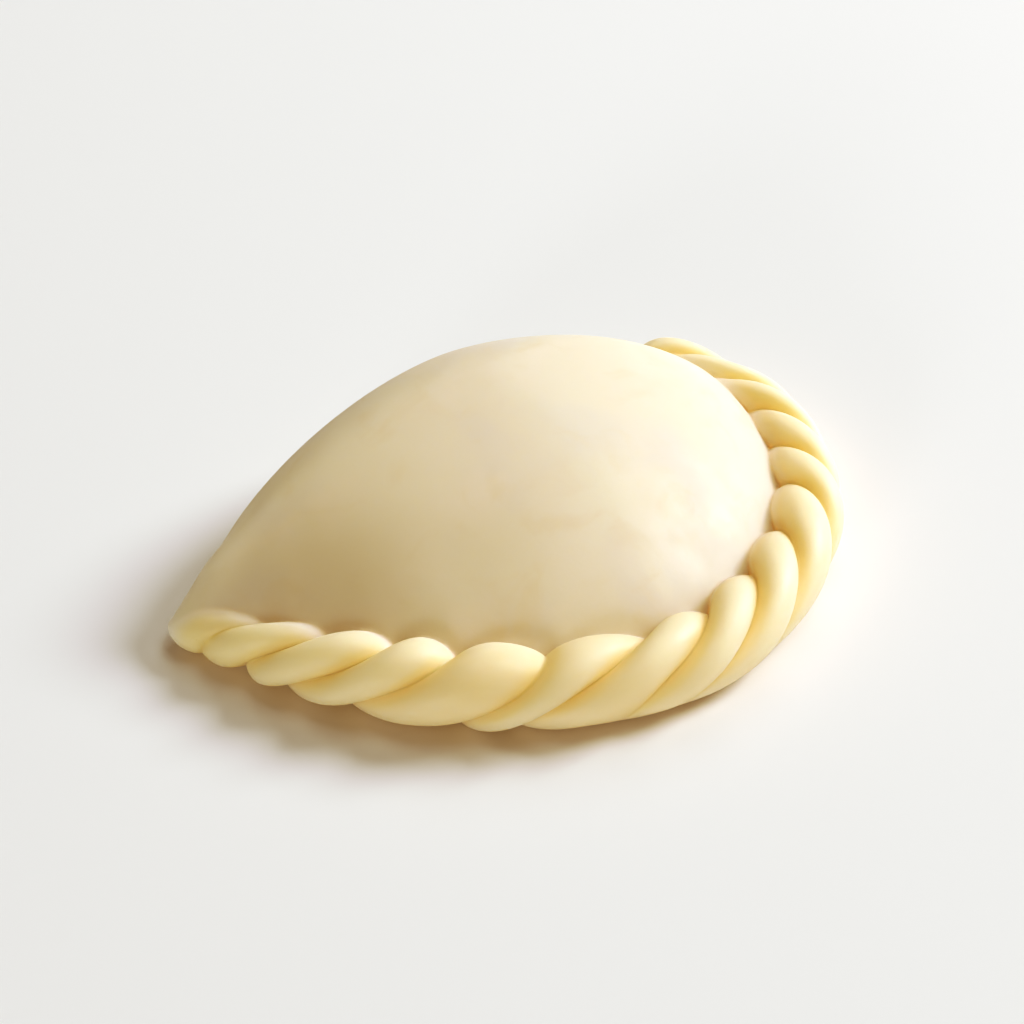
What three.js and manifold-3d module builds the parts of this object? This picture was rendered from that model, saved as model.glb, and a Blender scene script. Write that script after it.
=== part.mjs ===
// A raw, hand-crimped empanada: a half-moon of dough round a filling, closed along its curved
// edge by a rope crimp whose folds are all different. It is one piece of dough, so one solid.
// Millimetres, +Z up, +X along the fold. The origin is at the middle of the base.

import Module from 'manifold-3d';
import * as THREE from 'three';
import { mergeVertices } from 'three/addons/utils/BufferGeometryUtils.js';

const wasm = await Module();
wasm.setup();

// ---- Driving dimensions ----

// The seam is the curved edge in front (-Y). It is a superellipse that leans a little sideways,
// and it runs past the widest line by an angle at each end, where it tucks in towards the fold.
const SEAM_HALF_LENGTH = 57.8;
const SEAM_DEPTH = 54.7;
const SEAM_SQUARENESS = 1.75;
const SEAM_LEAN = 0.085;
const SEAM_LEFT_TURN = 0.155;
const SEAM_RIGHT_TURN = 0.51;
const SEAM_TUCK_START = 0.33;
const SEAM_TUCK = 60;

// It was closed by hand, so it wanders in and out of that curve near these angles.
const SEAM_WANDER = [
  { angle: -0.15, reach: 4.6, width: 0.17 },
  { angle: 0.45, reach: -0.8, width: 0.25 },
  { angle: 1.1, reach: 0.2, width: 0.3 },
  { angle: 2.38, reach: 0.7, width: 0.22 },
  { angle: 3.2, reach: -1.3, width: 0.15 },
];

// The filled body: its plan, its height, and the place of its summit, which is nearer the fold
// than the middle of the plan is.
const BODY_INSET = 4.4;
const BODY_LEFT_REACH = 5;
const FOLD_DEPTH = 28;
const FOLD_LEFT_SQUARENESS = 1.8;
const FOLD_RIGHT_SQUARENESS = 1.67;
const FOLD_LEAN = -0.086;
const FOLD_LEAN_START = 6;
const BODY_HEIGHT = 30.3;
const BODY_TOP_FLATNESS = 1.68;
const BODY_EDGE_FULLNESS = 1.89;
const BODY_MIDDLE = new THREE.Vector2(-1.7, -4);
const SUMMIT = new THREE.Vector2(5.5, 8);
const WAIST_HEIGHT = 4;
const UNDERCUT_DEPTH = 20;

// The body's foot runs out into the crimp all along the seam, and further at its two back
// corners, where the crimp ends.
const FOOT_SPREAD = 1.5;
const FOOT_SHARPNESS = 8;
const FOOT_CORNERS = [
  { angle: -0.165, spread: 6.6, narrowness: 90 },
  { angle: 1.25 * Math.PI, spread: 10, narrowness: 6 },
];

// The rope crimp. It is thin at its left tip, fullest in front, and thins again to the back.
const ROPE_TIP_RADIUS = 4.7;
const ROPE_FULL_RADIUS = 7.4;
const ROPE_BACK_RADIUS = 6.2;
const ROPE_SWELL_LENGTH = 51;
const ROPE_THINS_FROM = 75;
const ROPE_TIP_CAP_LENGTH = 15;
const ROPE_BACK_CAP_LENGTH = 6;
const ROPE_AXIS_HEIGHT = 0.96;
const ROPE_TIP_AXIS_HEIGHT = 0.72;
const ROPE_TIP_LENGTH = 18;

// The creases between the folds, from the left end. Each crosses the rope's outer shoulder at a
// place along the seam, runs on along the seam as it climbs over the rope, and bends as it goes.
// Its strength is its share of the full depth. The first and the last are the rope's two ends.
const CREASES = [
  { place: 0, run: 0, bend: 0, strength: 0.2 },
  { place: 12.6, run: 15.6, bend: 4, strength: 0.45 },
  { place: 24, run: 16.1, bend: 2.1, strength: 0.95 },
  { place: 37.6, run: 18.3, bend: -3.1, strength: 1 },
  { place: 49.9, run: 17, bend: -4.4, strength: 1 },
  { place: 67.6, run: 13.4, bend: -5.1, strength: 0.8 },
  { place: 78.8, run: 25.5, bend: -1.6, strength: 0.95 },
  { place: 93.6, run: 22.5, bend: -1.3, strength: 0.95 },
  { place: 107.3, run: 26.8, bend: -3.1, strength: 0.95 },
  { place: 122.7, run: 23.9, bend: -2.4, strength: 0.9 },
  { place: 139.9, run: 18.4, bend: -1.7, strength: 0.85 },
  { place: 152, run: 15.3, bend: 0.4, strength: 0.8 },
  { place: 163, run: 26.8, bend: -3.9, strength: 0.8 },
  { place: 173, run: 31.7, bend: 3, strength: 0.8 },
  { place: 186.4, run: 32, bend: 2, strength: 0.75 },
  { place: Infinity, run: 0, bend: 0, strength: 0.5 },
];
const CREASE_SHOULDER_ANGLE = 50;

// A crease is deepest on top of the rope. On the left it goes on round the outside, and from
// the front rightwards it fades out there.
const CREASE_DEPTH = 3.3;
const CREASE_ROUNDNESS = 0.87;
const CREST_AT = 0.45;
const CREASE_DEEPEST_ANGLE = 90;
const CREASE_FADE_START = 60;
const CREASE_FADE_END_LEFT = 280;
const CREASE_FADE_END_RIGHT = 150;
const CREASE_FADE_TURN = [62, 80];

// How finely the faces follow the shape.
const BODY_STEPS_ROUND = 72;
const BODY_STEPS_DOWN = 30;
const ROPE_STEPS_ROUND = 24;
const STEPS_PER_FOLD = 8;

// ---- Small helpers ----

const signedPower = (value, power) => Math.sign(value) * Math.abs(value) ** power;

// An angle in degrees, brought to between -180 and 180.
const signedAngle = (angle) => THREE.MathUtils.euclideanModulo(angle + 180, 360) - 180;

// ---- Plan outlines ----

// A point of the curve that the seam follows, or of one inside it, at an angle that runs from
// its left end (0) round the front to pi.
function edgePoint(angle, inset) {
  const power = 2 / SEAM_SQUARENESS;
  const y = -(SEAM_DEPTH - inset) * signedPower(Math.sin(angle), power);
  const x = -(SEAM_HALF_LENGTH - inset) * signedPower(Math.cos(angle), power);
  const past = Math.max(0, Math.abs(angle - Math.PI / 2) - Math.PI / 2 - SEAM_TUCK_START);
  return new THREE.Vector2(x - SEAM_LEAN * y - Math.sign(x) * SEAM_TUCK * past * past, y);
}

function seamPoint(angle) {
  const point = edgePoint(angle, 0);
  const wander = SEAM_WANDER.reduce((sum, bump) => {
    return sum + bump.reach * Math.exp(-(((angle - bump.angle) / bump.width) ** 2));
  }, 0);
  return point.setLength(point.length() + wander);
}

// The seam as a curve along its real length, from its left end to its right end.
class SeamLine extends THREE.Curve {
  getPoint(fraction, target = new THREE.Vector3()) {
    const angle = THREE.MathUtils.lerp(-SEAM_LEFT_TURN, Math.PI + SEAM_RIGHT_TURN, fraction);
    const point = seamPoint(angle);
    return target.set(point.x, point.y, 0);
  }
}

// The body's outline. The angle goes once round, from the left, by the seam and by the fold.
// The left end is drawn out into the crimp.
function bodyOutline(angle) {
  const point = Math.sin(angle) > 0 ? edgePoint(angle, BODY_INSET) : foldPoint(angle);
  const leftness = Math.max(0, -point.x / SEAM_HALF_LENGTH);
  point.x -= BODY_LEFT_REACH * leftness ** 4;
  return point;
}

function foldPoint(angle) {
  const power = 2 / (Math.cos(angle) > 0 ? FOLD_LEFT_SQUARENESS : FOLD_RIGHT_SQUARENESS);
  const y = -FOLD_DEPTH * signedPower(Math.sin(angle), power);
  const x = (BODY_INSET - SEAM_HALF_LENGTH) * signedPower(Math.cos(angle), power);
  const lean = FOLD_LEAN * (Math.hypot(y, FOLD_LEAN_START) - FOLD_LEAN_START);
  return new THREE.Vector2(x - SEAM_LEAN * y + lean, y);
}

// How far the foot runs out beyond the outline.
function footSpread(angle) {
  const frontness = Math.min(1, 1 + Math.sin(angle));
  return FOOT_CORNERS.reduce((sum, corner) => {
    const nearness = Math.max(0, Math.cos(angle - corner.angle)) ** corner.narrowness;
    return sum + corner.spread * nearness;
  }, FOOT_SPREAD * frontness);
}

// ---- Solids ----

// A sphere's vertices, each moved to place(fraction round, fraction down), as a closed solid.
function shapedSphere(stepsRound, stepsDown, place) {
  const sphere = new THREE.SphereGeometry(1, stepsRound, stepsDown);
  const position = sphere.getAttribute('position');
  const uv = sphere.getAttribute('uv');
  for (let i = 0; i < position.count; i += 1) {
    const down = Math.round(stepsDown * (1 - uv.getY(i)));
    const pole = down === 0 || down === stepsDown;
    const round = pole ? 0 : Math.round(stepsRound * uv.getX(i)) % stepsRound;
    const point = place(round / stepsRound, down / stepsDown);
    position.setXYZ(i, point.x, point.y, point.z);
  }
  return solidFrom(sphere);
}

function solidFrom(geometry) {
  const bare = geometry.clone();
  bare.deleteAttribute('normal');
  bare.deleteAttribute('uv');
  const merged = mergeVertices(bare, 1e-5);
  const mesh = new wasm.Mesh({
    numProp: 3,
    vertProperties: new Float32Array(merged.getAttribute('position').array),
    triVerts: new Uint32Array(merged.getIndex().array),
  });
  return new wasm.Manifold(mesh);
}

function geometryFrom(solid) {
  const mesh = solid.getMesh();
  const geometry = new THREE.BufferGeometry();
  geometry.setAttribute('position', new THREE.BufferAttribute(mesh.vertProperties, 3));
  geometry.setIndex(new THREE.BufferAttribute(mesh.triVerts, 1));
  geometry.computeVertexNormals();
  return geometry;
}

// The body is a dome over its outline. Its level sections are the outline made smaller, and
// they shift towards the summit the higher they are. Below its waist it draws in a little.
function bodySolid() {
  return shapedSphere(BODY_STEPS_ROUND, BODY_STEPS_DOWN, (round, down) => {
    const angle = 2 * Math.PI * round;
    const latitude = Math.PI * down;
    const reach = Math.sin(latitude);
    const arm = bodyOutline(angle).sub(BODY_MIDDLE);
    const plan = arm.setLength(arm.length() * reach + footSpread(angle) * reach ** FOOT_SHARPNESS);
    plan.add(SUMMIT.clone().lerp(BODY_MIDDLE, reach * reach));
    const rise = Math.max(0, 1 - reach ** BODY_TOP_FLATNESS) ** (1 / BODY_EDGE_FULLNESS);
    const tall = latitude < Math.PI / 2 ? BODY_HEIGHT - WAIST_HEIGHT : -UNDERCUT_DEPTH;
    return new THREE.Vector3(plan.x, plan.y, WAIST_HEIGHT + tall * rise);
  });
}

// ---- The rope crimp ----

const seam = new SeamLine();
const seamLength = seam.getLength();
const foldCount = CREASES.length - 1;

// The distance along the seam of a crease at an angle round the rope, where 0 is outwards and
// 90 is up. The crease climbs over the outside and the top, and returns underneath.
function creasePlace(crease, angle) {
  const turn = signedAngle(angle - CREASE_SHOULDER_ANGLE) / 180;
  const run = crease.run * turn * (1 - turn ** 4);
  const bend = 4 * crease.bend * turn ** 2 * (1 - turn ** 2);
  return Math.min(crease.place, seamLength) + run + bend;
}

// The distance along the seam of a point that lies a fraction of the way across one fold.
function placeAcrossFold(fold, fraction, angle) {
  const start = creasePlace(CREASES[fold], angle);
  const end = creasePlace(CREASES[fold + 1], angle);
  return THREE.MathUtils.clamp(THREE.MathUtils.lerp(start, end, fraction), 0, seamLength);
}

function ropeRadius(distance) {
  if (distance < ROPE_THINS_FROM) {
    const swell = THREE.MathUtils.smoothstep(distance, 0, ROPE_SWELL_LENGTH);
    return THREE.MathUtils.lerp(ROPE_TIP_RADIUS, ROPE_FULL_RADIUS, swell);
  }
  const toEnd = (seamLength - distance) / (seamLength - ROPE_THINS_FROM);
  return THREE.MathUtils.lerp(ROPE_BACK_RADIUS, ROPE_FULL_RADIUS, Math.sin(toEnd * Math.PI / 2));
}

// The height of the rope's axis as a share of its radius. The left tip lies low.
function axisHeight(distance) {
  const swell = THREE.MathUtils.smoothstep(distance, 0, ROPE_TIP_LENGTH);
  return THREE.MathUtils.lerp(ROPE_TIP_AXIS_HEIGHT, ROPE_AXIS_HEIGHT, swell);
}

// Rounds the rope off at its two ends.
function endRounding(distance) {
  const fromTip = distance / ROPE_TIP_CAP_LENGTH;
  const fromBack = (seamLength - distance) / ROPE_BACK_CAP_LENGTH;
  const gap = Math.max(0, 1 - Math.min(fromTip, fromBack));
  return Math.sqrt(Math.max(0, 1 - gap * gap));
}

function creaseDepth(crease, distance, angle) {
  const rightness = THREE.MathUtils.smoothstep(distance, ...CREASE_FADE_TURN);
  const fadeEnd = THREE.MathUtils.lerp(CREASE_FADE_END_LEFT, CREASE_FADE_END_RIGHT, rightness);
  const away = Math.abs(signedAngle(angle - CREASE_DEEPEST_ANGLE));
  const share = crease.strength * (1 - THREE.MathUtils.smoothstep(away, CREASE_FADE_START, fadeEnd));
  return CREASE_DEPTH * share;
}

// How far down into a crease a point is, from 0 on the fold's crest to 1. A fold is round
// across. Its crest is nearer its start, which laps over the end of the fold before it.
function groove(fraction) {
  const side = fraction < CREST_AT ? CREST_AT : 1 - CREST_AT;
  const across = CREASE_ROUNDNESS * Math.abs(fraction - CREST_AT) / side;
  return (1 - Math.sqrt(1 - across ** 2)) / (1 - Math.sqrt(1 - CREASE_ROUNDNESS ** 2));
}

function ropePoint(fold, fraction, angle) {
  const distance = placeAcrossFold(fold, fraction, angle);
  const centre = seam.getPointAt(distance / seamLength);
  const tangent = seam.getTangentAt(distance / seamLength);
  const outward = new THREE.Vector3(tangent.y, -tangent.x, 0);
  const full = ropeRadius(distance);
  const rounding = endRounding(distance);
  const crease = CREASES[fraction < CREST_AT ? fold : fold + 1];
  const sunk = creaseDepth(crease, distance, angle) * groove(fraction) * rounding;
  const radius = (full - sunk) * rounding;
  const turn = THREE.MathUtils.degToRad(angle);
  const point = centre.addScaledVector(outward, radius * Math.cos(turn));
  return point.setZ(axisHeight(distance) * full + radius * Math.sin(turn));
}

function ropeSolid() {
  const stations = foldCount * STEPS_PER_FOLD;
  return shapedSphere(ROPE_STEPS_ROUND, stations, (round, down) => {
    const station = Math.round(down * stations);
    const fold = Math.min(Math.floor(station / STEPS_PER_FOLD), foldCount - 1);
    return ropePoint(fold, station / STEPS_PER_FOLD - fold, 360 * round);
  });
}

// ---- The whole empanada ----

// Everything above the surface it rests on.
function restingSpace() {
  const size = 400;
  const box = new THREE.BoxGeometry(size, size, size);
  box.translate(0, 0, size / 2);
  return solidFrom(box);
}

function empanadaGeometry() {
  const dough = bodySolid().add(ropeSolid()).intersect(restingSpace());
  const geometry = geometryFrom(dough);
  geometry.computeBoundingBox();
  const middle = geometry.boundingBox.getCenter(new THREE.Vector3());
  geometry.translate(-middle.x, -middle.y, -geometry.boundingBox.min.z);
  return geometry;
}

const rawDough = new THREE.MeshStandardMaterial({ color: 0xe8d6a6, roughness: 0.55, metalness: 0 });

const empanada = new THREE.Mesh(empanadaGeometry(), rawDough);
empanada.name = 'empanada';

const model = new THREE.Group();
model.add(empanada);

export default model;
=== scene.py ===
"""A raw, hand-crimped empanada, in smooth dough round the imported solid.

The shapes are worked out in millimetres and made in metres. Lengths are in millimetres where
nothing else is said. +X runs along the fold, -Y faces the crimped edge and +Z is up.
"""

import math

import bmesh
import bpy
import numpy as np
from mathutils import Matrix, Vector
from mathutils.bvhtree import BVHTree


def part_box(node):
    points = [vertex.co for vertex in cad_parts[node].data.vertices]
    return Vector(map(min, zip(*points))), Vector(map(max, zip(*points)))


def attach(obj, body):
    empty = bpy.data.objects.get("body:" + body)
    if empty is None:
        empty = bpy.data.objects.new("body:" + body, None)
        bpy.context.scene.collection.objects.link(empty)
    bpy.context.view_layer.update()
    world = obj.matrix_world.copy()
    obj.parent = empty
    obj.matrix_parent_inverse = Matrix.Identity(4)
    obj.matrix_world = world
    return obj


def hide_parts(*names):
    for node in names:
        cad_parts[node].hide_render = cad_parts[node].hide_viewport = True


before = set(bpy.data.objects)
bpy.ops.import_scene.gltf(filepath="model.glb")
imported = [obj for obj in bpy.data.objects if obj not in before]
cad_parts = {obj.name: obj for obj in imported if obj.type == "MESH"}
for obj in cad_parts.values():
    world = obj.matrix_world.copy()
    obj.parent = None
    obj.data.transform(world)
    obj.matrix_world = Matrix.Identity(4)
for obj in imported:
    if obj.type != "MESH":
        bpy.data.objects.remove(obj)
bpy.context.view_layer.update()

MM = 0.001

# ---- The seam, the curved edge that the crimp closes ----

SEAM_HALF_LENGTH = 57.8
SEAM_DEPTH = 54.7
SEAM_SQUARENESS = 1.75
SEAM_LEAN = 0.085
SEAM_LEFT_TURN = 0.155
SEAM_RIGHT_TURN = 0.51
SEAM_TUCK_START = 0.33
SEAM_TUCK = 60
SEAM_SAMPLES = 4000

# (angle, reach, width) of each place where the seam wanders in or out.
SEAM_WANDER = [
    (-0.15, 4.6, 0.17),
    (0.45, -0.8, 0.25),
    (1.1, 0.2, 0.3),
    (2.38, 0.7, 0.22),
    (3.2, -1.3, 0.15),
]

# ---- The filled body ----

BODY_INSET = 4.4
BODY_LEFT_REACH = 5
FOLD_DEPTH = 28
FOLD_LEFT_SQUARENESS = 1.8
FOLD_RIGHT_SQUARENESS = 1.67
FOLD_LEAN = -0.086
FOLD_LEAN_START = 6
BODY_HEIGHT = 30.3
BODY_TOP_FLATNESS = 1.68
BODY_EDGE_FULLNESS = 1.89
BODY_MIDDLE = np.array([-1.7, -4.0])
SUMMIT = np.array([5.5, 8.0])
WAIST_HEIGHT = 4
UNDERCUT_DEPTH = 20
FOOT_SPREAD = 1.5
FOOT_SHARPNESS = 8

# (angle, spread, narrowness) of each corner where the foot spreads farther.
FOOT_CORNERS = [(-0.165, 6.6, 90), (1.25 * math.pi, 10, 6)]

# ---- The rope crimp ----

ROPE_TIP_RADIUS = 4.7
ROPE_FULL_RADIUS = 7.4
ROPE_BACK_RADIUS = 6.2
ROPE_SWELL_LENGTH = 51
ROPE_THINS_FROM = 75
ROPE_TIP_CAP_LENGTH = 15
ROPE_BACK_CAP_LENGTH = 6
ROPE_AXIS_HEIGHT = 0.96
ROPE_TIP_AXIS_HEIGHT = 0.72
ROPE_TIP_LENGTH = 18

# (place along the seam, run, bend, strength) of each crease. The outermost are the rope's ends.
CREASES = np.array([
    (0, 0, 0, 0.2),
    (12.6, 15.6, 4, 0.45),
    (24, 16.1, 2.1, 0.95),
    (37.6, 18.3, -3.1, 1),
    (49.9, 17, -4.4, 1),
    (67.6, 13.4, -5.1, 0.8),
    (78.8, 25.5, -1.6, 0.95),
    (93.6, 22.5, -1.3, 0.95),
    (107.3, 26.8, -3.1, 0.95),
    (122.7, 23.9, -2.4, 0.9),
    (139.9, 18.4, -1.7, 0.85),
    (152, 15.3, 0.4, 0.8),
    (163, 26.8, -3.9, 0.8),
    (173, 31.7, 3, 0.8),
    (186.4, 32, 2, 0.75),
    (math.inf, 0, 0, 0.5),
])
CREASE_SHOULDER_ANGLE = 50
CREASE_DEPTH = 3.3
CREASE_ROUNDNESS = 0.87
CREST_AT = 0.45

# The creases are deepest on top of the rope and fade round it, sooner on the right than on the left.
CREASE_DEEPEST_ANGLE = 90
CREASE_FADE_START = 60
CREASE_FADE_END_LEFT = 280
CREASE_FADE_END_RIGHT = 150
CREASE_FADE_TURN = (62, 80)

# ---- The mesh ----

BODY_STEPS_ROUND = 300
BODY_ROWS_ABOVE_WAIST = 110
BODY_ROWS_BELOW_WAIST = 24
ROPE_STEPS_ROUND = 96
STEPS_PER_FOLD = 30
ROUNDING_SLACK = 1e-9
SLIVER = 0.12
EASING = 0.6
LEAST_SHARE = 0.0001
JOIN_WIDTH = 0.8
JOIN_ROUNDS = 6
HOLLOW_ROUNDS = 40
ROPE_EDGE = 0.8

# How far from the body the crimp's rim is at its fullest, and where it ends.
RIM_REACH = (0.5, 3)

# (middle, width, rounds) of each place where the crimp melts into the dome.
SOFT_SPOTS = [((-59, 4, 7.5), 4.5, 120), ((46, 20, 9), 6, 300)]

# The space above the surface that the empanada rests on, in metres.
SPACE_HALF_WIDTH = 0.2
SPACE_HEIGHT = 0.1

# ---- The camera ----

CAMERA_AZIMUTH = math.radians(-34.33)
CAMERA_ELEVATION = math.radians(38)
CAMERA_DISTANCE = 417.1
CAMERA_TARGET = (-7.95, -3.19, 19.4)
CAMERA_LENS_MM = 85
CAMERA_SENSOR_MM = 36
CAMERA_CLIP_START = 10

# ---- The lights ----

# In metres.
SOFTBOX_DISTANCE = 3

# (degrees round from the camera, elevation, diameter in metres, watts) of each softbox.
SOFTBOXES = {
    "key": (115, 32, 1.2, 89),
    "top": (105, 68, 1.6, 18),
    "back": (165, 45, 1.8, 18),
    "front": (-25, 8, 0.7, 27),
}
STUDIO_COLOUR = (1, 1, 0.98, 1)
STUDIO_STRENGTH = 0.135

# Tone curves for red, green and blue. The darks are warm and the whites stay neutral.
TONE_CURVES = [
    [],
    [(0.1, 0.058), (0.27, 0.2), (0.4, 0.345), (0.55, 0.51), (0.7, 0.67), (0.82, 0.82)],
    [(0.1, 0.025), (0.27, 0.128), (0.4, 0.262), (0.55, 0.455), (0.7, 0.66), (0.85, 0.845)],
]

# ---- The dough's looks ----

DOME_BASE = (0.825, 0.735, 0.585)
DOME_GREY = (0.785, 0.705, 0.6)
DOME_ROSY = (0.84, 0.74, 0.6)
DOME_TAN = (0.8, 0.69, 0.53)
# Painted shade where the dome meets the crimp.
DOME_JOIN_PAINTED_SHADE = (0.5, 0.38, 0.25)
ROPE_BASE = (0.91, 0.71, 0.44)
# The rope's crests, paler with a painted highlight.
ROPE_CREST_PAINTED_HIGHLIGHT = (0.93, 0.735, 0.51)
ROPE_RIM = (0.92, 0.78, 0.63)
# Painted shade down in the rope's creases.
CREASE_PAINTED_SHADE = (0.8, 0.68, 0.45)
# Brown of the filling showing through, partly painted shade.
FILLING_AND_SHADE_BROWN = (0.61, 0.51, 0.375)

# The depths, in millimetres, between which a colour sets in. Crests have depths below 0.
DOME_JOIN_DEPTHS = (0.3, 1.7)
CREST_HEIGHTS = (-0.1, -0.6)
CREASE_DEPTHS = (0.1, 1.2)

# (size, detail, distortion, start, full, colour) of each kind of patch in the dome's dough.
DOME_PATCHES = [
    (26, 2, 0, 0.44, 0.64, DOME_GREY),
    (17, 3, 0.5, 0.48, 0.7, DOME_ROSY),
    (11, 4, 0.8, 0.5, 0.78, DOME_TAN),
]

# (middle, radius, strength) of each patch where the filling shows brownish through the dome, partly
# painted shade on the dome's darker left side.
FILLING_AND_SHADE_PATCHES = [((-39, 2, 16), 24, 0.6), ((-16, -10, 23), 18, 0.25)]

DOUGH_ROUGHNESS = (0.52, 0.66)
DOUGH_SPECULAR = 0.7
SUBSURFACE_WEIGHT = 1
SUBSURFACE_REACH = (0.8, 0.8, 0.7)

# In metres.
SUBSURFACE_SCALE = 0.013
SOFT_BUMP = 0.00015
FINE_BUMP = 0.00002

# (size, detail) of the noise that varies the roughness and that raises the bumps.
ROUGHNESS_NOISE = (6, 4)
SOFT_BUMP_NOISE = (9, 2)
FINE_BUMP_NOISE = (0.9, 4)

# The values of the noise between which the roughness varies.
ROUGHNESS_NOISE_RANGE = (0.35, 0.65)

# ---- The floor ----

# In metres.
FLOOR_HALF_WIDTH = 3

FLOOR_COLOUR = (0.865, 0.86, 0.85, 1)
FLOOR_ROUGHNESS = 0.9
FLOOR_SPECULAR = 0.1


# ---- Small helpers ----


def signed_power(value, power):
    return np.sign(value) * np.abs(value) ** power


def signed_angle(degrees):
    return (degrees + 180) % 360 - 180


def smoothstep(value, low, high):
    share = np.clip((value - low) / (high - low), 0, 1)
    return share * share * (3 - 2 * share)


def lerp(start, end, share):
    return start + (end - start) * share


# ---- Plan outlines ----


def edge_point(angle, inset):
    """The curve that the seam follows, or one inside it, from its left end (0) round the front."""
    power = 2 / SEAM_SQUARENESS
    y = -(SEAM_DEPTH - inset) * signed_power(np.sin(angle), power)
    x = -(SEAM_HALF_LENGTH - inset) * signed_power(np.cos(angle), power)
    past = np.maximum(0, np.abs(angle - np.pi / 2) - np.pi / 2 - SEAM_TUCK_START)
    x = x - SEAM_LEAN * y - np.sign(x) * SEAM_TUCK * past**2
    return np.stack([x, y], axis=-1)


def seam_line():
    """Distances along the seam, its points and its directions."""
    angle = np.linspace(-SEAM_LEFT_TURN, np.pi + SEAM_RIGHT_TURN, SEAM_SAMPLES + 1)
    point = edge_point(angle, 0)
    wander = sum(reach * np.exp(-(((angle - at) / width) ** 2)) for at, reach, width in SEAM_WANDER)
    length = np.linalg.norm(point, axis=1)
    point = point * ((length + wander) / length)[:, None]
    step = np.diff(point, axis=0)
    distance = np.concatenate([[0], np.cumsum(np.linalg.norm(step, axis=1))])
    direction = np.gradient(point, distance, axis=0)
    return distance, point, direction


def fold_point(angle):
    """The straight, folded side of the body at the back."""
    squareness = np.where(np.cos(angle) > 0, FOLD_LEFT_SQUARENESS, FOLD_RIGHT_SQUARENESS)
    y = -FOLD_DEPTH * signed_power(np.sin(angle), 2 / squareness)
    x = (BODY_INSET - SEAM_HALF_LENGTH) * signed_power(np.cos(angle), 2 / squareness)
    lean = FOLD_LEAN * (np.hypot(y, FOLD_LEAN_START) - FOLD_LEAN_START)
    return np.stack([x - SEAM_LEAN * y + lean, y], axis=-1)


def body_outline(angle):
    """The body's widest outline: inside the seam's curve in front, and the fold at the back."""
    in_front = (np.sin(angle) > 0)[..., None]
    point = np.where(in_front, edge_point(angle, BODY_INSET), fold_point(angle))
    leftness = np.maximum(0, -point[..., 0] / SEAM_HALF_LENGTH)
    point[..., 0] -= BODY_LEFT_REACH * leftness**4
    return point


def foot_spread(angle):
    """How far the foot reaches out past the outline."""
    spread = FOOT_SPREAD * np.minimum(1, 1 + np.sin(angle))
    for at, reach, narrowness in FOOT_CORNERS:
        spread = spread + reach * np.maximum(0, np.cos(angle - at)) ** narrowness
    return spread


# ---- The body and the rope as grids of points ----


def body_point(turn, down):
    """The dome: level sections of the outline that shrink and shift towards the summit."""
    angle = 2 * np.pi * turn
    latitude = np.pi * down
    reach = np.sin(latitude)
    arm = body_outline(angle) - BODY_MIDDLE
    length = np.linalg.norm(arm, axis=-1)
    spread = foot_spread(angle) * reach**FOOT_SHARPNESS
    plan = arm * ((length * reach + spread) / length)[..., None]
    plan = plan + lerp(SUMMIT, BODY_MIDDLE, (reach**2)[..., None])
    rise = np.maximum(0, 1 - reach**BODY_TOP_FLATNESS) ** (1 / BODY_EDGE_FULLNESS)
    tall = np.where(latitude < np.pi / 2, BODY_HEIGHT - WAIST_HEIGHT, -UNDERCUT_DEPTH)
    return np.dstack([plan, WAIST_HEIGHT + tall * rise])


def crease_place(crease, angle, seam_length):
    """The distance along the seam of a crease at an angle round the rope. 0 is outwards."""
    place, run, bend, _ = CREASES[crease].T
    turn = signed_angle(angle.T - CREASE_SHOULDER_ANGLE) / 180
    shift = run * turn * (1 - turn**4) + 4 * bend * turn**2 * (1 - turn**2)
    return (np.minimum(place, seam_length) + shift).T


def rope_radius(distance, seam_length):
    """Thin at the left tip, fullest in front and thinner again towards the other end."""
    swell = smoothstep(distance, 0, ROPE_SWELL_LENGTH)
    front = lerp(ROPE_TIP_RADIUS, ROPE_FULL_RADIUS, swell)
    to_end = (seam_length - distance) / (seam_length - ROPE_THINS_FROM)
    back = lerp(ROPE_BACK_RADIUS, ROPE_FULL_RADIUS, np.sin(to_end * np.pi / 2))
    return np.where(distance < ROPE_THINS_FROM, front, back)


def axis_height(distance):
    """The height of the rope's axis as a share of its radius. The tip lies low."""
    return lerp(ROPE_TIP_AXIS_HEIGHT, ROPE_AXIS_HEIGHT, smoothstep(distance, 0, ROPE_TIP_LENGTH))


def end_rounding(distance, seam_length):
    """The rounded caps that close the rope: 0 at each end and 1 between the caps."""
    from_tip = distance / ROPE_TIP_CAP_LENGTH
    from_back = (seam_length - distance) / ROPE_BACK_CAP_LENGTH
    gap = np.maximum(0, 1 - np.minimum(from_tip, from_back))
    return np.sqrt(np.maximum(0, 1 - gap**2))


def crease_depth(crease, distance, angle):
    """How deep a crease is at an angle round the rope."""
    rightness = smoothstep(distance, *CREASE_FADE_TURN)
    fade_end = lerp(CREASE_FADE_END_LEFT, CREASE_FADE_END_RIGHT, rightness)
    away = np.abs(signed_angle(angle - CREASE_DEEPEST_ANGLE))
    return CREASE_DEPTH * CREASES[crease, 3] * (1 - smoothstep(away, CREASE_FADE_START, fade_end))


def groove(fraction):
    """How far down into a crease a point is, from 0 on a fold's round crest to 1."""
    side = np.where(fraction < CREST_AT, CREST_AT, 1 - CREST_AT)
    across = CREASE_ROUNDNESS * np.abs(fraction - CREST_AT) / side
    return (1 - np.sqrt(1 - across**2)) / (1 - math.sqrt(1 - CREASE_ROUNDNESS**2))


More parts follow.
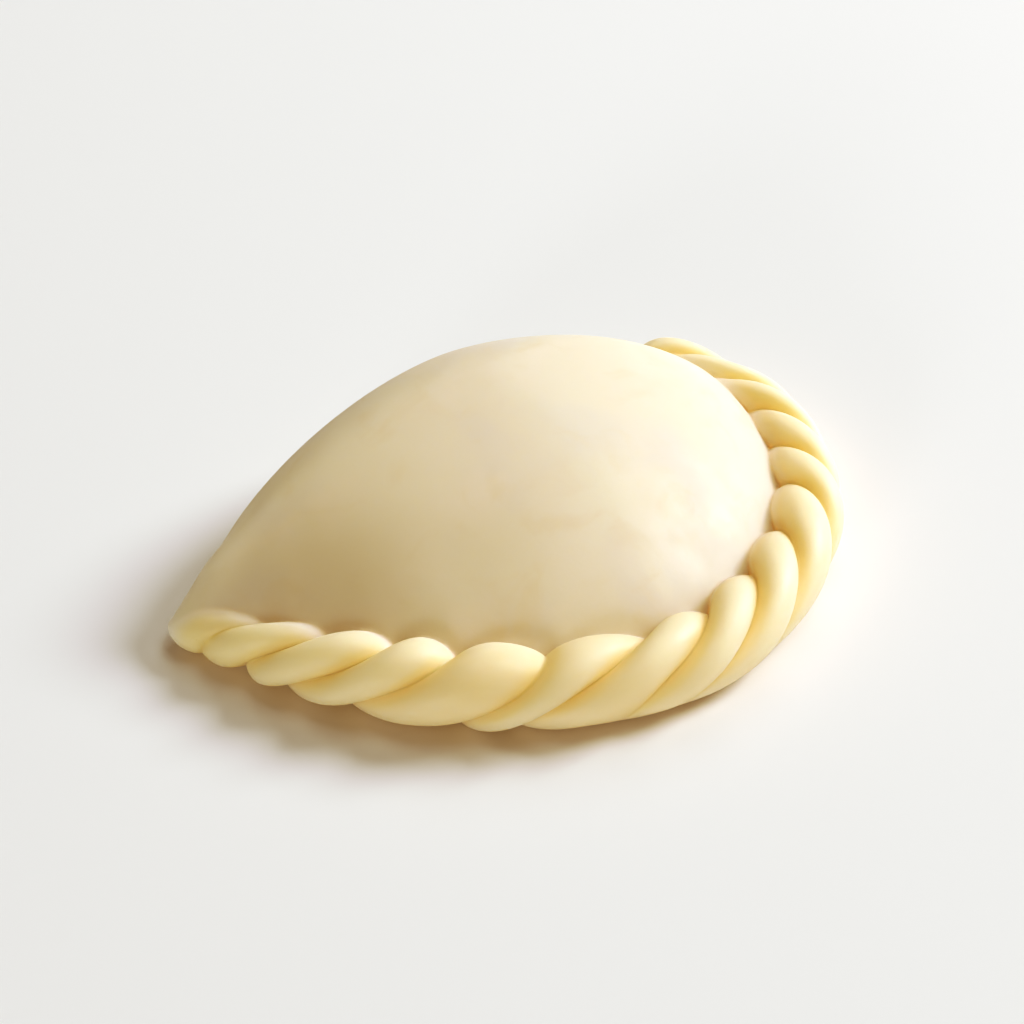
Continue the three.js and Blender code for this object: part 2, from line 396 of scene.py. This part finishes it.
def rope_point(turn, down):
    """The rope: a tube along the seam with slanting creases between plump folds."""
    seam_distance, seam_points, seam_directions = seam_line()
    seam_length = seam_distance[-1]
    folds = len(CREASES) - 1
    angle = 360 * turn
    fold = np.minimum(np.floor(down * folds + ROUNDING_SLACK).astype(int), folds - 1)
    fraction = down * folds - fold
    start = crease_place(fold, angle, seam_length)
    end = crease_place(fold + 1, angle, seam_length)
    distance = np.clip(lerp(start, end, fraction), 0, seam_length)
    centre = np.dstack([np.interp(distance, seam_distance, seam_points[:, i]) for i in (0, 1)])
    along = np.dstack([np.interp(distance, seam_distance, seam_directions[:, i]) for i in (0, 1)])
    outward = np.dstack([along[..., 1], -along[..., 0]])
    outward /= np.linalg.norm(outward, axis=-1, keepdims=True)
    full = rope_radius(distance, seam_length)
    rounding = end_rounding(distance, seam_length)
    nearest = np.where(fraction < CREST_AT, fold, fold + 1)
    sunk = crease_depth(nearest, distance, angle) * groove(fraction) * rounding
    radius = (full - sunk) * rounding
    plan = centre + outward * (radius * np.cos(np.radians(angle)))[..., None]
    return np.dstack([plan, axis_height(distance) * full + radius * np.sin(np.radians(angle))])


def closed_grid(place, steps_round, rows):
    """Points and faces of a sphere's grid whose points are at place(turn, down), down by rows."""
    turn, down = np.meshgrid(np.arange(steps_round) / steps_round, rows)
    points = place(turn, down)
    rings = points[1:-1].reshape(-1, 3)
    top, bottom = len(rings), len(rings) + 1
    index = np.arange(len(rings)).reshape(-1, steps_round)
    after = np.roll(index, -1, axis=1)
    faces = np.stack([index[:-1], index[1:], after[1:], after[:-1]], axis=-1).reshape(-1, 4).tolist()
    faces += [[top, first, second] for first, second in zip(index[0], after[0])]
    faces += [[bottom, second, first] for first, second in zip(index[-1], after[-1])]
    return np.concatenate([rings, points[0, :1], points[-1, :1]]), faces


# ---- The dough as one smooth skin ----


def mesh_from(name, points, faces):
    mesh = bpy.data.meshes.new(name)
    mesh.from_pydata(np.asarray(points).tolist(), [], faces)
    return mesh


def add_object(name, data):
    thing = bpy.data.objects.new(name, data)
    bpy.context.scene.collection.objects.link(thing)
    return thing


def add_solid(name, grid):
    points, faces = grid
    return add_object(name, mesh_from(name, points * MM, faces))


def combined(first, second, operation):
    """The union or the intersection of two closed solids, in the first one's place."""
    boolean = first.modifiers.new("combined", "BOOLEAN")
    boolean.object = second
    boolean.operation = operation
    boolean.solver = "MANIFOLD"
    bpy.context.view_layer.update()
    evaluated = first.evaluated_get(bpy.context.evaluated_depsgraph_get())
    first.data = bpy.data.meshes.new_from_object(evaluated)
    first.modifiers.clear()
    bpy.data.objects.remove(second)
    return first


def square(half, height):
    """The corners of a level square at a height, with its middle over the frame's origin."""
    return [(-half, -half, height), (half, -half, height), (half, half, height), (-half, half, height)]


def add_resting_space():
    """Everything above the surface that the empanada rests on."""
    points = square(SPACE_HALF_WIDTH, 0) + square(SPACE_HALF_WIDTH, SPACE_HEIGHT)
    sides = [[i, (i + 1) % 4, (i + 1) % 4 + 4, i + 4] for i in range(4)]
    return add_object("space", mesh_from("space", points, [[3, 2, 1, 0], [4, 5, 6, 7], *sides]))


def points_of(mesh):
    points = np.empty(len(mesh.vertices) * 3, np.float32)
    mesh.vertices.foreach_get("co", points)
    return points.reshape(-1, 3).astype(float)


def normals_of(mesh):
    normals = np.empty(len(mesh.vertices) * 3, np.float32)
    mesh.vertices.foreach_get("normal", normals)
    return normals.reshape(-1, 3).astype(float)


def set_points(mesh, points):
    mesh.vertices.foreach_set("co", points.astype(np.float32).ravel())
    mesh.update()


def edges_of(mesh):
    edges = np.empty(len(mesh.edges) * 2, np.int32)
    mesh.edges.foreach_get("vertices", edges)
    return edges.reshape(-1, 2)


def neighbour_average(values, edges):
    """Each vertex's value as the average over the vertices that its edges lead to."""
    count = np.bincount(edges.ravel(), minlength=len(values))
    columns = []
    for column in values.reshape(len(values), -1).T:
        total = np.bincount(edges[:, 0], column[edges[:, 1]], len(values))
        total += np.bincount(edges[:, 1], column[edges[:, 0]], len(values))
        columns.append(total / count)
    return np.stack(columns, axis=-1).reshape(values.shape)


def distances_to(grid, points):
    """How far each point is from a grid's surface."""
    tree = BVHTree.FromPolygons(*grid)
    return np.array([tree.find_nearest(point)[3] for point in points])


def eased(points, edges, share, rounds):
    """Smooths each point by its own share, in rounds. Points with hardly any share stay."""
    share = np.where(share > LEAST_SHARE, EASING * share, 0)
    used, near = np.unique(edges[(share[edges] > 0).any(axis=1)], return_inverse=True)
    near = near.reshape(-1, 2)
    part = points[used]
    for _ in range(rounds):
        part = lerp(part, neighbour_average(part, near), share[used, None])
    points = points.copy()
    points[used] = part
    return points


def eased_joins(points, edges, from_body, from_rope):
    """Softens the line where the crimp meets the dome, and melts the crimp's ends into it."""
    joined = np.exp(-((np.maximum(from_body, from_rope) / JOIN_WIDTH) ** 2))
    points = eased(points, edges, joined, JOIN_ROUNDS)
    for middle, width, rounds in SOFT_SPOTS:
        away = np.linalg.norm(points - np.array(middle), axis=1)
        points = eased(points, edges, np.exp(-((away / width) ** 2)), rounds)
    points[:, 2] = np.maximum(points[:, 2], 0)
    return points


def without_slivers(mesh):
    """Merges the points that the cuts left very close together."""
    cleaned = bmesh.new()
    cleaned.from_mesh(mesh)
    bmesh.ops.remove_doubles(cleaned, verts=cleaned.verts, dist=SLIVER * MM)
    bmesh.ops.triangulate(cleaned, faces=[face for face in cleaned.faces if len(face.verts) > 4])
    cleaned.to_mesh(mesh)
    cleaned.free()


def add_values(mesh, name, values):
    attribute = mesh.attributes.new(name, "FLOAT", "POINT")
    attribute.data.foreach_set("value", values.astype(np.float32))


def hollowness(points, edges, normals):
    """How far each point lies under its surroundings, in millimetres, as in a crease."""
    around = points
    for _ in range(HOLLOW_ROUNDS):
        around = neighbour_average(around, edges)
    return np.sum((around - points) * normals, axis=1)


def centred_on_cad(points):
    """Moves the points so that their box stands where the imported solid's box does."""
    low, high = points.min(axis=0), points.max(axis=0)
    cad_low, cad_high = (np.array(corner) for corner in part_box("empanada"))
    shift = (cad_low + cad_high - low - high) / 2
    shift[2] = cad_low[2] - low[2]
    return points + shift


def empanada_mesh():
    """The body and the rope as one skin, with the values that its colours follow."""
    upper = np.linspace(0, 0.5, BODY_ROWS_ABOVE_WAIST)
    lower = np.linspace(0.5, 1, BODY_ROWS_BELOW_WAIST)
    body_grid = closed_grid(body_point, BODY_STEPS_ROUND, np.append(upper, lower[1:]))
    rope_rows = np.linspace(0, 1, (len(CREASES) - 1) * STEPS_PER_FOLD + 1)
    rope_grid = closed_grid(rope_point, ROPE_STEPS_ROUND, rope_rows)
    whole = combined(add_solid("body", body_grid), add_solid("rope", rope_grid), "UNION")
    whole = combined(whole, add_resting_space(), "INTERSECT")
    skin = whole.data
    bpy.data.objects.remove(whole)
    without_slivers(skin)
    points = points_of(skin) / MM
    edges = edges_of(skin)
    from_body = distances_to(body_grid, points)
    from_rope = distances_to(rope_grid, points)
    points = eased_joins(points, edges, from_body, from_rope)
    set_points(skin, centred_on_cad(points * MM))
    normals = normals_of(skin)
    add_values(skin, "rope", smoothstep(from_body - from_rope, -ROPE_EDGE, ROPE_EDGE))
    add_values(skin, "rim", 1 - smoothstep(from_body, *RIM_REACH))
    add_values(skin, "hollow", hollowness(points, edges, normals))
    skin.shade_smooth()
    return skin


# ---- Materials ----

# A Mix node has several sockets of one name, so those for colours go by number.
MIX_SHARE = 0
MIX_FIRST = 6
MIX_SECOND = 7
MIX_RESULT = 2


class Shading:
    """Adds nodes to a material. Each method gives the socket that holds its result."""

    def __init__(self, name):
        self.material = bpy.data.materials.new(name)
        self.material.use_nodes = True
        self.tree = self.material.node_tree
        self.surface = self.tree.nodes["Principled BSDF"]
        self.place = self.tree.nodes.new("ShaderNodeTexCoord").outputs["Object"]

    def put(self, socket, value):
        if isinstance(value, bpy.types.NodeSocket):
            self.tree.links.new(value, socket)
        elif isinstance(value, tuple) and socket.type == "RGBA":
            socket.default_value = (*value, 1)
        else:
            socket.default_value = value

    def set(self, name, value):
        self.put(self.surface.inputs[name], value)

    def attribute(self, name):
        node = self.tree.nodes.new("ShaderNodeAttribute")
        node.attribute_name = name
        return node.outputs["Fac"]

    def noise(self, size, detail, distortion=0):
        """Cloudy values whose patches are about this many millimetres across."""
        node = self.tree.nodes.new("ShaderNodeTexNoise")
        self.put(node.inputs["Vector"], self.place)
        self.put(node.inputs["Scale"], 1 / (size * MM))
        self.put(node.inputs["Detail"], detail)
        self.put(node.inputs["Distortion"], distortion)
        return node.outputs["Fac"]

    def distance(self, middle):
        """The distance, in metres, to a place that is given in millimetres."""
        node = self.tree.nodes.new("ShaderNodeVectorMath")
        node.operation = "DISTANCE"
        self.put(node.inputs[0], self.place)
        self.put(node.inputs[1], tuple(number * MM for number in middle))
        return node.outputs["Value"]

    def share(self, value, low, high, least=0, most=1):
        """Smoothly from the least at low to the most at high."""
        node = self.tree.nodes.new("ShaderNodeMapRange")
        node.interpolation_type = "SMOOTHSTEP"
        numbers = {"From Min": low, "From Max": high, "To Min": least, "To Max": most}
        self.put(node.inputs["Value"], value)
        for name, number in numbers.items():
            self.put(node.inputs[name], number)
        return node.outputs["Result"]

    def mix(self, share, first, second):
        node = self.tree.nodes.new("ShaderNodeMix")
        node.data_type = "RGBA"
        self.put(node.inputs[MIX_SHARE], share)
        self.put(node.inputs[MIX_FIRST], first)
        self.put(node.inputs[MIX_SECOND], second)
        return node.outputs[MIX_RESULT]

    def bump(self, height, distance, normal=None):
        node = self.tree.nodes.new("ShaderNodeBump")
        self.put(node.inputs["Height"], height)
        self.put(node.inputs["Distance"], distance)
        if normal is not None:
            self.put(node.inputs["Normal"], normal)
        return node.outputs["Normal"]


def dome_colour(shading, hollow):
    """Pale dough with soft greyish, rosy and tan patches, and painted shade where it meets the crimp.
    """
    colour = DOME_BASE
    for size, detail, distortion, start, full, patch_colour in DOME_PATCHES:
        patches = shading.share(shading.noise(size, detail, distortion), start, full)
        colour = shading.mix(patches, colour, patch_colour)
    # Patches of filling showing through, partly painted shade on the dome's darker left side.
    for middle, radius, strength in FILLING_AND_SHADE_PATCHES:
        patch = shading.share(shading.distance(middle), radius * MM, 0, 0, strength)
        colour = shading.mix(patch, colour, FILLING_AND_SHADE_BROWN)
    # Painted shade in the hollow where the dome meets the crimp.
    return shading.mix(shading.share(hollow, *DOME_JOIN_DEPTHS), colour, DOME_JOIN_PAINTED_SHADE)


def rope_colour(shading, hollow):
    """Yellower dough, with a painted highlight on the crests, painted shade down in the creases, and
    rosy where it presses on the dome.
    """
    # Painted highlight on the crests.
    colour = shading.mix(shading.share(hollow, *CREST_HEIGHTS), ROPE_BASE, ROPE_CREST_PAINTED_HIGHLIGHT)
    # Painted shade down in the creases.
    colour = shading.mix(shading.share(hollow, *CREASE_DEPTHS), colour, CREASE_PAINTED_SHADE)
    return shading.mix(shading.attribute("rim"), colour, ROPE_RIM)


def dough_material():
    shading = Shading("raw_dough")
    hollow = shading.attribute("hollow")
    dome = dome_colour(shading, hollow)
    rope = rope_colour(shading, hollow)
    shading.set("Base Color", shading.mix(shading.attribute("rope"), dome, rope))
    rough = shading.noise(*ROUGHNESS_NOISE)
    shading.set("Roughness", shading.share(rough, *ROUGHNESS_NOISE_RANGE, *DOUGH_ROUGHNESS))
    shading.set("Specular IOR Level", DOUGH_SPECULAR)
    shading.set("Subsurface Weight", SUBSURFACE_WEIGHT)
    shading.set("Subsurface Radius", SUBSURFACE_REACH)
    shading.set("Subsurface Scale", SUBSURFACE_SCALE)
    soft = shading.bump(shading.noise(*SOFT_BUMP_NOISE), SOFT_BUMP)
    shading.set("Normal", shading.bump(shading.noise(*FINE_BUMP_NOISE), FINE_BUMP, soft))
    return shading.material


def floor_material():
    material = bpy.data.materials.new("pale_floor")
    material.use_nodes = True
    shader = material.node_tree.nodes["Principled BSDF"]
    shader.inputs["Base Color"].default_value = FLOOR_COLOUR
    shader.inputs["Roughness"].default_value = FLOOR_ROUGHNESS
    shader.inputs["Specular IOR Level"].default_value = FLOOR_SPECULAR
    return material


# ---- The scene ----


def add_empanada():
    piece = add_object("empanada_dough", empanada_mesh())
    # The cuts leave an empty slot.
    piece.data.materials.clear()
    piece.data.materials.append(dough_material())
    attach(piece, "root")
    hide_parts("empanada")


def add_floor():
    corners = square(FLOOR_HALF_WIDTH, 0)
    floor = add_object("floor", mesh_from("floor", corners, [[0, 1, 2, 3]]))
    floor.data.materials.append(floor_material())


def towards(azimuth, elevation):
    """The direction of a place seen at an azimuth round the object and an elevation."""
    level = math.cos(elevation)
    return Vector((math.sin(azimuth) * level, -math.cos(azimuth) * level, math.sin(elevation)))


def add_camera():
    data = bpy.data.cameras.new("camera")
    data.lens = CAMERA_LENS_MM
    data.sensor_width = CAMERA_SENSOR_MM
    data.clip_start = CAMERA_CLIP_START * MM
    camera = add_object("camera", data)
    back = towards(CAMERA_AZIMUTH, CAMERA_ELEVATION)
    camera.location = (Vector(CAMERA_TARGET) + back * CAMERA_DISTANCE) * MM
    camera.rotation_euler = back.to_track_quat("Z", "Y").to_euler()
    bpy.context.scene.camera = camera


def add_softbox(name, azimuth, elevation, size, power):
    data = bpy.data.lights.new(name, "AREA")
    data.shape = "DISK"
    data.size = size
    data.energy = power
    light = add_object(name, data)
    back = towards(azimuth, elevation)
    light.location = back * SOFTBOX_DISTANCE
    light.rotation_euler = back.to_track_quat("Z", "Y").to_euler()


def add_lights():
    for name, (azimuth, elevation, size, power) in SOFTBOXES.items():
        add_softbox(name, CAMERA_AZIMUTH + math.radians(azimuth), math.radians(elevation), size, power)
    world = bpy.data.worlds.new("studio")
    world.use_nodes = True
    world.node_tree.nodes["Background"].inputs["Color"].default_value = STUDIO_COLOUR
    world.node_tree.nodes["Background"].inputs["Strength"].default_value = STUDIO_STRENGTH
    bpy.context.scene.world = world


def set_tones():
    """The view's tone curves, which leave the surfaces' own colours as they are."""
    view = bpy.context.scene.view_settings
    view.view_transform = "Standard"
    view.use_curve_mapping = True
    for curve, points in zip(view.curve_mapping.curves, TONE_CURVES):
        for light, shown in points:
            curve.points.new(light, shown)
    view.curve_mapping.update()


add_empanada()
add_floor()
add_camera()
add_lights()
set_tones()
